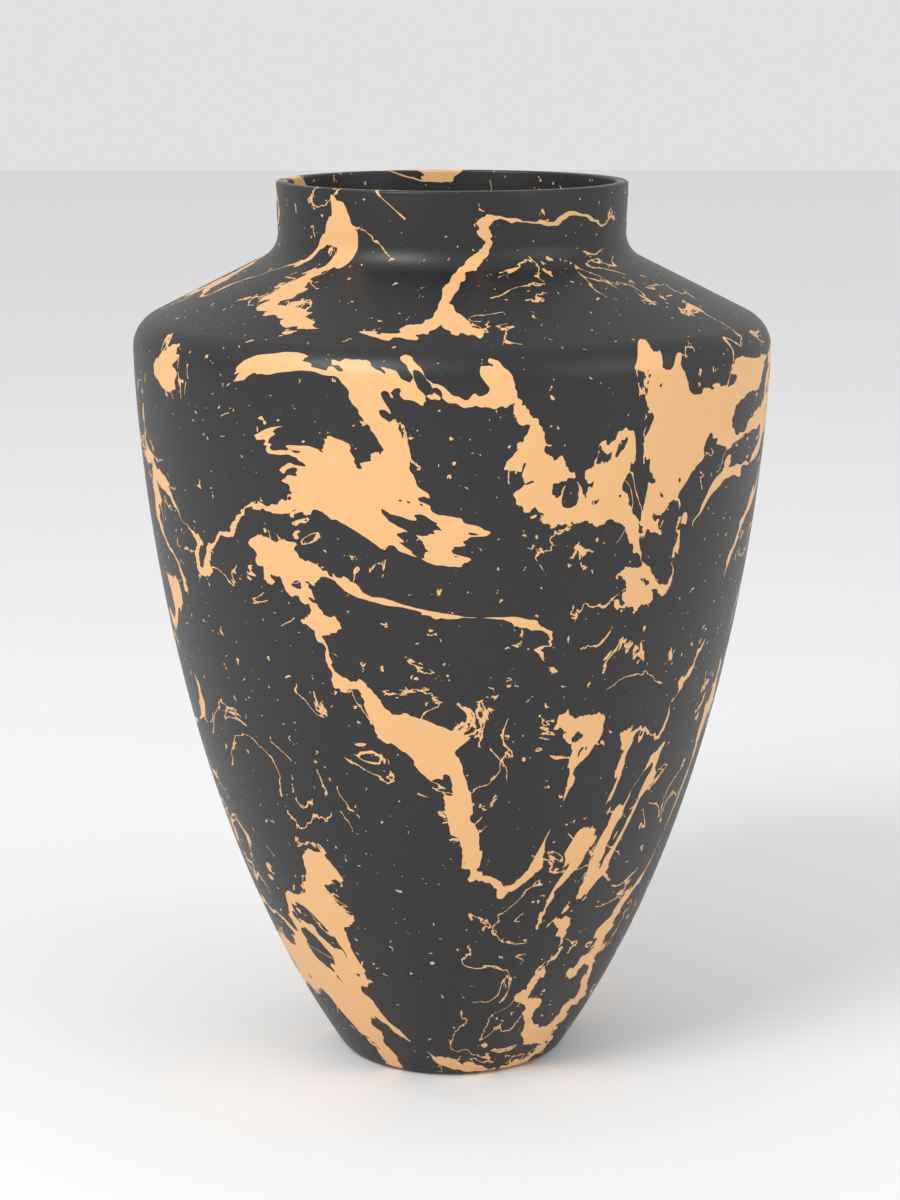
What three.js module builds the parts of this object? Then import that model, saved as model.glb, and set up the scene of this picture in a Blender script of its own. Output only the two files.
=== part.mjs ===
// A large shouldered jar vase of black glass, turned in form, standing on four small clear bumpers.
// Millimetres and degrees, +Z up. The origin is on the vase's axis, on the surface that it stands on.
import * as THREE from "three";

// Overall form
const TOTAL_HEIGHT = 350; // from the table to the ground lip
const BELLY_RADIUS = 124.2; // widest, where the belly turns into the shoulder
const FOOT_RADIUS = 42.6; // outer edge of the flat that is ground on the foot

// Outer line, from the foot to the lip
const FOOT_EDGE_ROUND = 4; // radius between the ground flat and the belly
const FOOT_LEAN = 33.4; // how far the belly leans out from the vertical just above the foot
const BELLY_LOWER_PULL = 129; // how long the belly keeps the lean of the foot
const BELLY_UPPER_PULL = 21.2; // how long the belly stays upright below its widest point
const SHOULDER_ROUND = 13.6; // radius of the turn from belly to shoulder
const SHOULDER_SLOPE = 26.6; // the shoulder's rise towards the neck, from the horizontal
const NECK_FILLET = 11.1; // hollow radius between shoulder and neck
const NECK_RADIUS = 67.6; // at the root of the neck
const NECK_HEIGHT = 26.5; // from the lip down to where the lines of shoulder and neck meet
const NECK_DRAFT = 1.9; // the neck opens by this angle towards the lip

// The glass
const WALL = 4.6; // at the neck, the shoulder and the upper belly
const HEEL_WALL = 8.5; // the wall thickens to this towards the foot, as blown glass does
const FLOOR_THICKNESS = 13; // over the ground ring
const HEEL_ROUND = 16; // inside radius between floor and wall
const LIP_ROUND = 0.9; // radius that breaks both edges of the ground lip

// Underside
const GROUND_RING_WIDTH = 13.6; // the flat ring round the punt
const PUNT_DEPTH = 3.2; // the underside is pushed up this far in its middle

// Bumpers
const BUMPER_COUNT = 4;
const BUMPER_THICKNESS = 1; // lifts the glass off the table
const BUMPER_EDGE_ROUND = 0.5;
const BUMPER_MARGIN = 1.8; // ground glass left bare on both sides of a bumper
const FIRST_BUMPER_AT = 45; // azimuth of the first one

// Fineness
const VASE_SIDES = 56;
const BUMPER_SIDES = 16;

const radians = THREE.MathUtils.degToRad;
const point = (radius, height) => new THREE.Vector2(radius, height);

/** A round stretch of a profile, as points, between two directions seen from its centre. */
function arc(centre, radius, from, to, steps) {
  const curve = new THREE.EllipseCurve(
    centre.x, centre.y, radius, radius, radians(from), radians(to), to < from,
  );
  return curve.getPoints(steps);
}

/** Joins stretches into one profile and drops the points where they meet twice. */
function joined(...stretches) {
  const profile = [];
  for (const p of stretches.flat()) {
    const last = profile.at(-1);
    if (!last || last.distanceTo(p) > 1e-4) profile.push(p);
  }
  return profile;
}

/** Turns a closed profile (radius, height) about the vertical axis. */
function turned(profile, sides) {
  return new THREE.LatheGeometry(profile, sides).rotateX(Math.PI / 2);
}

// Places on the outer line that both faces of the wall share
const glassBottom = BUMPER_THICKNESS;
const neckCorner = point(NECK_RADIUS, TOTAL_HEIGHT - NECK_HEIGHT);
const slope = point(Math.cos(radians(SHOULDER_SLOPE)), -Math.sin(radians(SHOULDER_SLOPE)));
const filletReach = NECK_FILLET * Math.tan(radians((90 - SHOULDER_SLOPE) / 2));
const filletCentre = point(NECK_RADIUS + NECK_FILLET, neckCorner.y + filletReach);
const shoulderTop = point(BELLY_RADIUS - SHOULDER_ROUND * (1 - Math.sin(radians(SHOULDER_SLOPE))), 0);
shoulderTop.y = neckCorner.y + ((shoulderTop.x - neckCorner.x) * slope.y) / slope.x;
const shoulderCentre = point(
  BELLY_RADIUS - SHOULDER_ROUND,
  shoulderTop.y - SHOULDER_ROUND * Math.cos(radians(SHOULDER_SLOPE)),
);
const lipFlare = Math.tan(radians(NECK_DRAFT)) * (TOTAL_HEIGHT - filletCentre.y);
const footEdgeCentre = point(FOOT_RADIUS, glassBottom + FOOT_EDGE_ROUND);

/** The belly's outer curve, from the foot's round edge up to its widest point. */
function bellyCurve() {
  const lean = radians(FOOT_LEAN);
  const start = footEdgeCentre
    .clone()
    .add(point(Math.cos(lean), -Math.sin(lean)).multiplyScalar(FOOT_EDGE_ROUND));
  const end = point(BELLY_RADIUS, shoulderCentre.y);
  return new THREE.CubicBezierCurve(
    start,
    start.clone().add(point(Math.sin(lean), Math.cos(lean)).multiplyScalar(BELLY_LOWER_PULL)),
    end.clone().add(point(0, -BELLY_UPPER_PULL)),
    end,
  );
}

/** Shoulder, neck fillet and neck, from the widest point up, at a depth inside the outer face. */
function upperLine(depth, topRadius, topHeight, steps) {
  return joined(
    arc(shoulderCentre, SHOULDER_ROUND - depth, 0, 90 - SHOULDER_SLOPE, steps),
    arc(filletCentre, NECK_FILLET + depth, 270 - SHOULDER_SLOPE, 180, steps),
    [point(topRadius, topHeight)],
  );
}

/** The lip: ground flat, with both edges broken by a small round. */
function lipLine() {
  const outside = NECK_RADIUS + lipFlare;
  const height = TOTAL_HEIGHT - LIP_ROUND;
  return joined(
    arc(point(outside - LIP_ROUND, height), LIP_ROUND, 0, 90, 2),
    arc(point(outside - WALL + LIP_ROUND, height), LIP_ROUND, 90, 180, 2),
  );
}

/** The inside of the belly, from the widest point down: the outer curve moved in by a growing wall. */
function innerBelly(steps) {
  const curve = bellyCurve();
  const line = [];
  for (let i = steps; i >= 0; i -= 1) {
    const share = i / steps;
    const tangent = curve.getTangent(share);
    const wall = WALL + (HEEL_WALL - WALL) * (1 - share) ** 2;
    line.push(curve.getPoint(share).add(point(-tangent.y, tangent.x).multiplyScalar(wall)));
  }
  return line;
}

/** The inside's last stretch: the wall's line, rounded into the flat floor. */
function innerFloor(wallLine) {
  const floor = glassBottom + FLOOR_THICKNESS;
  const lean = 90 - FOOT_LEAN; // the wall's rise from the horizontal, near the foot
  const reach = HEEL_ROUND * Math.tan(radians(lean / 2));
  const low = wallLine.at(-1);
  const cornerRadius = low.x + (floor - low.y) / Math.tan(radians(lean));
  const centre = point(cornerRadius - reach, floor + HEEL_ROUND);
  const round = arc(centre, HEEL_ROUND, -FOOT_LEAN, -90, 4);
  const kept = wallLine.filter((p) => p.y > round[0].y);
  return joined(kept, round, [point(0, floor)]);
}

/** The underside: a shallow push-up inside the ground ring. */
function punt(steps) {
  const radius = FOOT_RADIUS - GROUND_RING_WIDTH;
  const sphere = (radius ** 2 + PUNT_DEPTH ** 2) / (2 * PUNT_DEPTH);
  const spread = THREE.MathUtils.radToDeg(Math.asin(radius / sphere));
  const centre = point(0, glassBottom + PUNT_DEPTH - sphere);
  return arc(centre, sphere, 90, 90 - spread, steps);
}

/** The vase's whole section, from the middle of its underside round to the middle of its floor. */
function vaseSection() {
  const lip = lipLine();
  const outer = joined(
    punt(5),
    arc(footEdgeCentre, FOOT_EDGE_ROUND, -90, -FOOT_LEAN, 4),
    bellyCurve().getPoints(16),
    upperLine(0, lip[0].x, lip[0].y, 5),
    lip,
  );
  const top = upperLine(WALL, lip.at(-1).x, lip.at(-1).y, 4).reverse();
  return joined(outer, top, innerFloor(innerBelly(10)));
}

/** A bumper's section: glued flat on top, with a rounded edge where it meets the table. */
function bumperSection(radius) {
  return joined(
    [point(0, 0)],
    arc(point(radius - BUMPER_EDGE_ROUND, BUMPER_EDGE_ROUND), BUMPER_EDGE_ROUND, -90, 0, 3),
    [point(radius, BUMPER_THICKNESS), point(0, BUMPER_THICKNESS)],
  );
}

/** The glass body: foot, belly, shoulder, neck and lip are one wall. */
function vaseBody() {
  const blackGlass = new THREE.MeshStandardMaterial({ color: 0x141416, roughness: 0.42, metalness: 0 });
  const mesh = new THREE.Mesh(turned(vaseSection(), VASE_SIDES), blackGlass);
  mesh.name = "vase_body";
  return mesh;
}

/** The clear stick-on bumpers, evenly spaced in the middle of the ground ring. */
function bumpers() {
  const clear = new THREE.MeshStandardMaterial({ color: 0xd8dadb, roughness: 0.3, metalness: 0 });
  const circle = FOOT_RADIUS - GROUND_RING_WIDTH / 2;
  const radius = GROUND_RING_WIDTH / 2 - BUMPER_MARGIN;
  return Array.from({ length: BUMPER_COUNT }, (_, i) => {
    const azimuth = radians(FIRST_BUMPER_AT + (i * 360) / BUMPER_COUNT);
    const mesh = new THREE.Mesh(turned(bumperSection(radius), BUMPER_SIDES), clear);
    mesh.name = `bumper_${i + 1}`;
    mesh.position.set(circle * Math.cos(azimuth), circle * Math.sin(azimuth), 0);
    return mesh;
  });
}

const vase = new THREE.Group();
vase.add(vaseBody(), ...bumpers());
export default vase;
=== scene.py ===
"""A shouldered black glass vase with gold marbling, on clear bumpers, in a plain bright studio."""
import logging
import math
from dataclasses import dataclass, field

import bpy
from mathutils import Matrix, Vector

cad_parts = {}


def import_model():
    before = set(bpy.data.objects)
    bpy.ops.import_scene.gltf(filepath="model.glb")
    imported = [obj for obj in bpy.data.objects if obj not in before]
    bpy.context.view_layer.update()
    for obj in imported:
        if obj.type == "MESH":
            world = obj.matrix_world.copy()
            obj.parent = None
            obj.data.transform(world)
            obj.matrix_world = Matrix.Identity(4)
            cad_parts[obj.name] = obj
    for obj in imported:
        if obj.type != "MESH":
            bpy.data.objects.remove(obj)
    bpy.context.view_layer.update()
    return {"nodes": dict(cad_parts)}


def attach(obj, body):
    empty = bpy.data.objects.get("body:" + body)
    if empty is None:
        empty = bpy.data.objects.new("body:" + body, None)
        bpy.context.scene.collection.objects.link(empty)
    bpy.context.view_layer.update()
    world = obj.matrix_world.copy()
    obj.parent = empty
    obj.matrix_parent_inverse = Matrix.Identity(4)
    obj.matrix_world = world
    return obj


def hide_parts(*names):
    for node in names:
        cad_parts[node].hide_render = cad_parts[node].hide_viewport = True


LOG = logging.getLogger("vase")
MM = 0.001


def deselect() -> None:
    """Deselects every object."""
    bpy.ops.object.select_all(action="DESELECT")


class Value:
    """A number that varies over a surface: a shader socket with Python's operators."""

    def __init__(self, shader: "Shader", socket: bpy.types.NodeSocket) -> None:
        """Wraps a socket.

        Args:
            shader: the material that the socket belongs to.
            socket: an output socket.
        """
        self.shader = shader
        self.socket = socket

    def combine(self, operation: str, other: "Value | float | None" = None) -> "Value":
        """Adds a Math node.

        Args:
            operation: the node's operation.
            other: the second operand, where the operation has one.

        Returns:
            The node's result.
        """
        inputs = {0: self} if other is None else {0: self, 1: other}
        node = self.shader.node("ShaderNodeMath", {"operation": operation}, inputs)
        return Value(self.shader, node.outputs[0])

    def __sub__(self, other: "Value | float") -> "Value":
        """Subtracts."""
        return self.combine("SUBTRACT", other)

    def __mul__(self, other: "Value | float") -> "Value":
        """Multiplies."""
        return self.combine("MULTIPLY", other)

    def __lt__(self, other: "Value | float") -> "Value":
        """Gives 1 where this is less, and 0 elsewhere."""
        return self.combine("LESS_THAN", other)

    def __gt__(self, other: "Value | float") -> "Value":
        """Gives 1 where this is more, and 0 elsewhere."""
        return self.combine("GREATER_THAN", other)

    def __or__(self, other: "Value") -> "Value":
        """Joins two masks."""
        return self.combine("MAXIMUM", other)

    def __abs__(self) -> "Value":
        """Drops the sign."""
        return self.combine("ABSOLUTE")


class Shader:
    """A material under construction, on Object coordinates."""

    def __init__(self, name: str) -> None:
        """Starts a material.

        Args:
            name: the material's name.
        """
        self.material = bpy.data.materials.new(name)
        self.material.use_nodes = True
        self.tree = self.material.node_tree
        self.surface = self.tree.nodes["Principled BSDF"]
        self.place = Value(self, self.node("ShaderNodeTexCoord").outputs["Object"])

    def feed(self, node: bpy.types.Node, key: "int | str", value: object) -> None:
        """Links a value to a node's socket, or sets the socket to a number or colour.

        Args:
            node: the node that is fed.
            key: the socket's name or number.
            value: a Value, a number or a colour.
        """
        if isinstance(value, Value):
            self.tree.links.new(value.socket, node.inputs[key])
        else:
            node.inputs[key].default_value = value

    def node(self, kind: str, settings: "dict | None" = None, inputs: "dict | None" = None) -> bpy.types.Node:
        """Adds a node.

        Args:
            kind: the node's type.
            settings: its settings, which are set first.
            inputs: values or links of its sockets.

        Returns:
            The node.
        """
        node = self.tree.nodes.new(kind)
        for name, setting in (settings or {}).items():
            setattr(node, name, setting)
        for key, value in (inputs or {}).items():
            self.feed(node, key, value)
        return node

    def noise(self, grain: "Grain") -> Value:
        """Adds a noise texture and returns its value."""
        inputs = {
            "Vector": self.place,
            "Scale": grain.scale,
            "Detail": grain.detail,
            "Distortion": grain.distortion,
        }
        return Value(self, self.node("ShaderNodeTexNoise", inputs=inputs).outputs["Fac"])


@dataclass(frozen=True)
class Grain:
    """One noise: its scale per metre, its detail and its distortion."""

    scale: float
    detail: float = 2.0
    distortion: float = 0.0


@dataclass(frozen=True)
class Marbling:
    """The matt black lacquer with its gold ribbons, hairs and specks."""

    black: tuple = (0.012, 0.012, 0.014, 1.0)
    gold: tuple = (0.80, 0.45, 0.19, 1.0)
    roughness: float = 0.42
    middle: float = 0.5
    gate: Grain = Grain(26.0, 3.0, 0.6)
    ribbon: Grain = Grain(7.5, 6.0, 0.9)
    ribbon_opens_at: float = 0.40
    ribbon_spread: float = 0.11
    hair: Grain = Grain(32.0, 7.0, 1.4)
    hair_opens_at: float = 0.53
    hair_half_width: float = 0.009
    speck: Grain = Grain(330.0, 3.0, 0.5)
    speck_threshold: float = 0.70
    wrinkle: Grain = Grain(420.0, 3.0, 0.3)
    wrinkle_strength: float = 0.12
    wrinkle_depth: float = 0.0004

    def gold_mask(self, shader: Shader) -> Value:
        """Says where the gold lies.

        Args:
            shader: the material under construction.

        Returns:
            1 on gold and 0 on black.
        """
        gate = shader.noise(self.gate)
        width = (gate - self.ribbon_opens_at) * self.ribbon_spread
        ribbons = abs(shader.noise(self.ribbon) - self.middle) < width
        hairs = abs(shader.noise(self.hair) - self.middle) < self.hair_half_width
        hairs = hairs * (gate > self.hair_opens_at)
        specks = shader.noise(self.speck) > self.speck_threshold
        return ribbons | hairs | specks

    def material(self) -> bpy.types.Material:
        """Builds the material and returns it."""
        shader = Shader("marbled_lacquer")
        # sockets 0, 6 and 7 of a colour Mix node are its factor and its two colours
        colours = {0: self.gold_mask(shader), 6: self.black, 7: self.gold}
        mix = shader.node("ShaderNodeMix", {"data_type": "RGBA"}, colours)
        wrinkles = {
            "Strength": self.wrinkle_strength,
            "Distance": self.wrinkle_depth,
            "Height": shader.noise(self.wrinkle),
        }
        bump = shader.node("ShaderNodeBump", inputs=wrinkles)
        shader.feed(shader.surface, "Base Color", Value(shader, mix.outputs[2]))
        shader.feed(shader.surface, "Roughness", self.roughness)
        shader.feed(shader.surface, "Normal", Value(shader, bump.outputs["Normal"]))
        return shader.material


@dataclass(frozen=True)
class ClearPlastic:
    """The bumpers' clear soft plastic, unevenly clouded."""

    colour: tuple = (0.7, 0.71, 0.72, 1.0)
    cloud: Grain = Grain(900.0)

    def material(self) -> bpy.types.Material:
        """Builds the material and returns it."""
        shader = Shader("clear_bumper")
        shader.feed(shader.surface, "Base Color", self.colour)
        shader.feed(shader.surface, "Roughness", shader.noise(self.cloud))
        return shader.material


def arc(x: float, z: float, radius: float, start: float, end: float, steps: int) -> list:
    """Draws a round stretch of a section.

    Args:
        x: the centre's distance from the axis.
        z: the centre's height.
        radius: the arc's radius.
        start: the first direction, in degrees.
        end: the last direction, in degrees.
        steps: how many straight steps it takes.

    Returns:
        The arc's points.
    """
    turns = [math.radians(start + (end - start) * i / steps) for i in range(steps + 1)]
    return [(x + radius * math.cos(a), z + radius * math.sin(a)) for a in turns]


@dataclass
class Vase:
    """The glass body as one turned, smooth shell. Sizes are in millimetres and degrees."""

    height: float = 350.0
    bottom: float = 1.0
    belly: float = 124.2
    foot: float = 42.6
    foot_round: float = 4.0
    lean: float = 33.4
    lower_pull: float = 129.0
    upper_pull: float = 21.2
    shoulder_round: float = 13.6
    slope: float = 26.6
    fillet: float = 11.1
    neck: float = 67.6
    neck_height: float = 26.5
    draft: float = 1.9
    wall: float = 4.6
    heel_wall: float = 8.5
    floor: float = 13.0
    heel_rise: float = 6.0
    heel_run: float = 8.0
    lip_round: float = 0.9
    punt_radius: float = 29.0
    punt_depth: float = 3.2
    sides: int = 240
    belly_steps: int = 90
    inner_belly_steps: int = 40
    smooth_below: float = 35.0
    weld: float = 0.00001
    finish: Marbling = field(default_factory=Marbling)

    def belly_point(self, share: float, top: float, depth: float) -> tuple:
        """Finds a point of the belly's curve.

        Args:
            share: how far up the curve, from 0 to 1.
            top: the height of the belly's widest point.
            depth: how far inside the outer face.

        Returns:
            The point's distance from the axis, and its height.
        """
        lean = math.radians(self.lean)
        start = Vector((self.foot + self.foot_round * math.cos(lean),
                        self.bottom + self.foot_round * (1 - math.sin(lean))))
        end = Vector((self.belly, top))
        low = start + Vector((math.sin(lean), math.cos(lean))) * self.lower_pull
        high = end - Vector((0, self.upper_pull))
        s = 1 - share
        at = start * s**3 + low * 3 * s * s * share + high * 3 * s * share**2 + end * share**3
        along = (low - start) * s * s + (high - low) * 2 * s * share + (end - high) * share**2
        along.normalize()
        return (at.x - along.y * depth, at.y + along.x * depth)

    def shoulder_height(self) -> float:
        """Returns the height of the belly's widest point, where the shoulder's round starts."""
        slope = math.radians(self.slope)
        end_x = self.belly - self.shoulder_round * (1 - math.sin(slope))
        corner = self.height - self.neck_height
        return corner - (end_x - self.neck) * math.tan(slope) - self.shoulder_round * math.cos(slope)

    def underside(self) -> list:
        """Returns the push-up under the foot and the foot's round edge."""
        bend = (self.punt_radius**2 + self.punt_depth**2) / (2 * self.punt_depth)
        spread = math.degrees(math.asin(self.punt_radius / bend))
        line = arc(0, self.bottom + self.punt_depth - bend, bend, 90, 90 - spread, 12)
        return line + arc(self.foot, self.bottom + self.foot_round, self.foot_round, -90, -self.lean, 8)

    def upper_part(self) -> list:
        """Returns shoulder, neck and lip outside, and the same stretch back down inside."""
        rise = 90 - self.slope
        turn_x, turn_z = self.belly - self.shoulder_round, self.shoulder_height()
        fillet_x = self.neck + self.fillet
        fillet_z = self.height - self.neck_height + self.fillet * math.tan(math.radians(rise / 2))
        rim = self.neck + math.tan(math.radians(self.draft)) * (self.height - fillet_z)
        top = self.height - self.lip_round
        line = arc(turn_x, turn_z, self.shoulder_round, 0, rise, 16)[1:]
        line += arc(fillet_x, fillet_z, self.fillet, 180 + rise, 180, 14)
        line += arc(rim - self.lip_round, top, self.lip_round, 0, 90, 6)
        line += arc(rim - self.wall + self.lip_round, top, self.lip_round, 90, 180, 6)
        line += arc(fillet_x, fillet_z, self.fillet + self.wall, 180, 180 + rise, 12)
        return line + arc(turn_x, turn_z, self.shoulder_round - self.wall, rise, 0, 12)

    def inner_belly(self) -> list:
        """Returns the inside from the belly's widest point down to just above the floor."""
        lowest = self.bottom + self.floor + self.heel_rise
        line = []
        for i in range(1, self.inner_belly_steps + 1):
            share = 1 - i / self.inner_belly_steps
            depth = self.wall + (self.heel_wall - self.wall) * (1 - share) ** 2
            x, z = self.belly_point(share, self.shoulder_height(), depth)
            if z > lowest:
                line.append((x, z))
        return line

    def section(self) -> list:
        """Returns the section, from the middle of the underside to the middle of the floor."""
        steps = range(1, self.belly_steps + 1)
        line = self.underside()
        line += [self.belly_point(i / self.belly_steps, self.shoulder_height(), 0) for i in steps]
        line += self.upper_part()
        line += self.inner_belly()
        floor_z = self.bottom + self.floor
        return line + [(line[-1][0] - self.heel_run, floor_z), (0, floor_z)]

    def build(self) -> bpy.types.Object:
        """Turns the section about the axis and dresses it.

        Returns:
            The finished piece.
        """
        deselect()
        line = self.section()
        mesh = bpy.data.meshes.new("vase")
        mesh.from_pydata([(x * MM, 0, z * MM) for x, z in line],
                         [(i, i + 1) for i in range(len(line) - 1)], [])
        piece = bpy.data.objects.new("marbled_vase", mesh)
        bpy.context.collection.objects.link(piece)
        piece.select_set(True)
        bpy.context.view_layer.objects.active = piece
        bpy.ops.object.mode_set(mode="EDIT")
        bpy.ops.mesh.select_all(action="SELECT")
        bpy.ops.mesh.spin(steps=self.sides, angle=2 * math.pi, center=(0, 0, 0), axis=(0, 0, 1))
        bpy.ops.mesh.select_all(action="SELECT")
        bpy.ops.mesh.remove_doubles(threshold=self.weld)
        bpy.ops.mesh.normals_make_consistent(inside=False)
        bpy.ops.object.mode_set(mode="OBJECT")
        bpy.ops.object.shade_smooth_by_angle(angle=math.radians(self.smooth_below))
        piece.data.materials.append(self.finish.material())
        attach(piece, "root")
        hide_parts("vase_body")
        LOG.info("%s: %d faces", piece.name, len(piece.data.polygons))
        return piece


@dataclass
class Bumpers:
    """The clear bumpers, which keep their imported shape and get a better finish."""

    prefix: str = "bumper_"
    finish: ClearPlastic = field(default_factory=ClearPlastic)

    def dress(self, nodes: dict) -> None:
        """Gives every bumper its finish.

        Args:
            nodes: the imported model's objects by name.
        """
        clear = self.finish.material()
        for name, node in nodes.items():
            if name.startswith(self.prefix):
                node.data.materials.clear()
                node.data.materials.append(clear)
                LOG.info("%s: dressed", name)


@dataclass(frozen=True)
class Lamp:
    """A square area lamp: its place and size in metres, and its power in watts."""

    name: str
    place: tuple
    size: float
    power: float


@dataclass
class Studio:
    """The pale floor, the even surroundings, the soft lamps and the camera, in metres."""

    floor_size: float = 12
    floor_colour: tuple = (0.9, 0.9, 0.9, 1)
    floor_roughness: float = 0.9
    surroundings: float = 0.75
    lamps: tuple = (
        Lamp("key", (-1.1, -1.3, 1.7), 0.9, 26),
        Lamp("fill", (1.6, -0.9, 1.1), 1.2, 7),
    )
    lamp_aim: tuple = (0, 0, 0.18)
    distance: float = 1.120
    eye: float = 0.4196
    pitch: float = 11.89
    lens: float = 86.04
    sensor: float = 36
    aside: float = -0.0008

    def build(self) -> None:
        """Sets the floor, the world, the lamps and the camera."""
        deselect()
        self.lay_floor()
        world = bpy.data.worlds.new("studio")
        world.use_nodes = True
        background = world.node_tree.nodes["Background"]
        background.inputs["Color"].default_value = (1, 1, 1, 1)
        background.inputs["Strength"].default_value = self.surroundings
        bpy.context.scene.world = world
        for lamp in self.lamps:
            self.hang(lamp)
        self.aim_camera()
        bpy.context.scene.view_settings.view_transform = "Standard"

    def lay_floor(self) -> None:
        """Adds the floor that the vase stands on."""
        bpy.ops.mesh.primitive_plane_add(size=self.floor_size, location=(0, 0, 0))
        floor = bpy.context.object
        floor.name = "floor"
        shader = Shader("floor_white")
        shader.feed(shader.surface, "Base Color", self.floor_colour)
        shader.feed(shader.surface, "Roughness", self.floor_roughness)
        floor.data.materials.append(shader.material)

    def aim_camera(self) -> None:
        """Adds the camera, level with the photograph's viewing angle."""
        turn = (math.radians(90 - self.pitch), 0, 0)
        bpy.ops.object.camera_add(location=(self.aside, -self.distance, self.eye), rotation=turn)
        camera = bpy.context.object
        camera.data.lens = self.lens
        camera.data.sensor_width = self.sensor
        camera.data.sensor_fit = "AUTO"
        bpy.context.scene.camera = camera

    def hang(self, lamp: Lamp) -> None:
        """Adds a lamp that looks at the vase's middle.

        Args:
            lamp: its place, size and power.
        """
        bpy.ops.object.light_add(type="AREA", location=lamp.place)
        light = bpy.context.object
        light.name = lamp.name
        light.data.size = lamp.size
        light.data.energy = lamp.power
        aim = Vector(self.lamp_aim) - Vector(lamp.place)
        light.rotation_euler = aim.to_track_quat("-Z", "Y").to_euler()


def main() -> None:
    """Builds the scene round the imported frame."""
    logging.basicConfig(level=logging.INFO)
    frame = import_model()
    Studio().build()
    Vase().build()
    Bumpers().dress(frame["nodes"])


if __name__ == "__main__":
    main()
